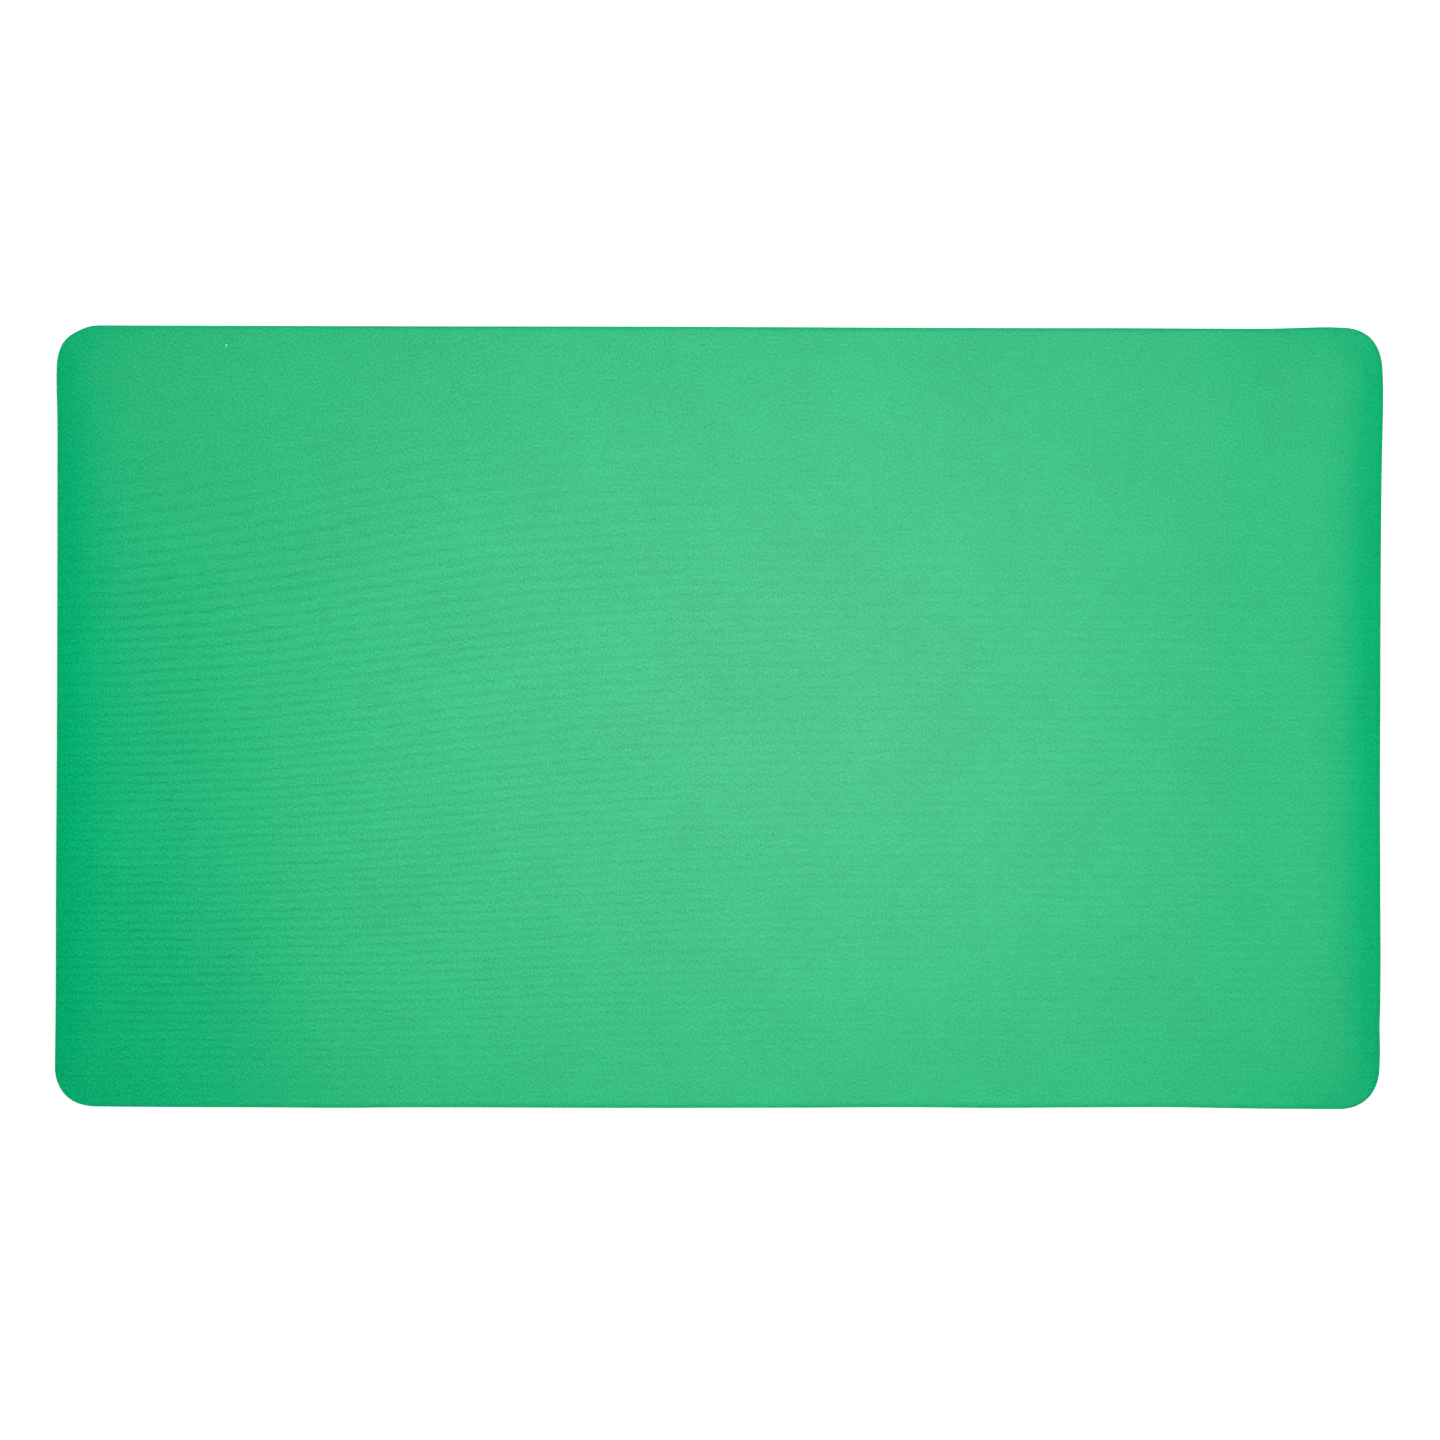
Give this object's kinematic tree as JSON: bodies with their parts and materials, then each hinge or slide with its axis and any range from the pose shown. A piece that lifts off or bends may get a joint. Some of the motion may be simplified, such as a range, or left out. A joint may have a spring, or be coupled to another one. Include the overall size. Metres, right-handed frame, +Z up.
{
  "type": "kneeling pad",
  "caption": "Rectangular padded kneeling pad with rounded corners: a boxed, turned fabric cover over a layered foam core, laid flat on the ground to kneel on.",
  "frame": {"origin": "on the ground, under the middle of the pad", "axes": "+X along the length, +Y across the width towards the side where the band's ends meet, +Z up"},
  "size_m": [0.44, 0.26, 0.0303],
  "materials": {
    "cover_fabric": "matte",
    "soft_foam": "matte",
    "firm_foam": "matte",
    "thread": "satin"
  },
  "bodies": {
    "root": {"top_panel": "cover_fabric", "side_band": "cover_fabric", "bottom_panel": "cover_fabric", "comfort_foam": "soft_foam", "support_foam": "firm_foam", "top_seam_stitches": "thread", "bottom_seam_stitches": "thread", "band_join_stitches": "thread"}
  },
  "joints": []
}
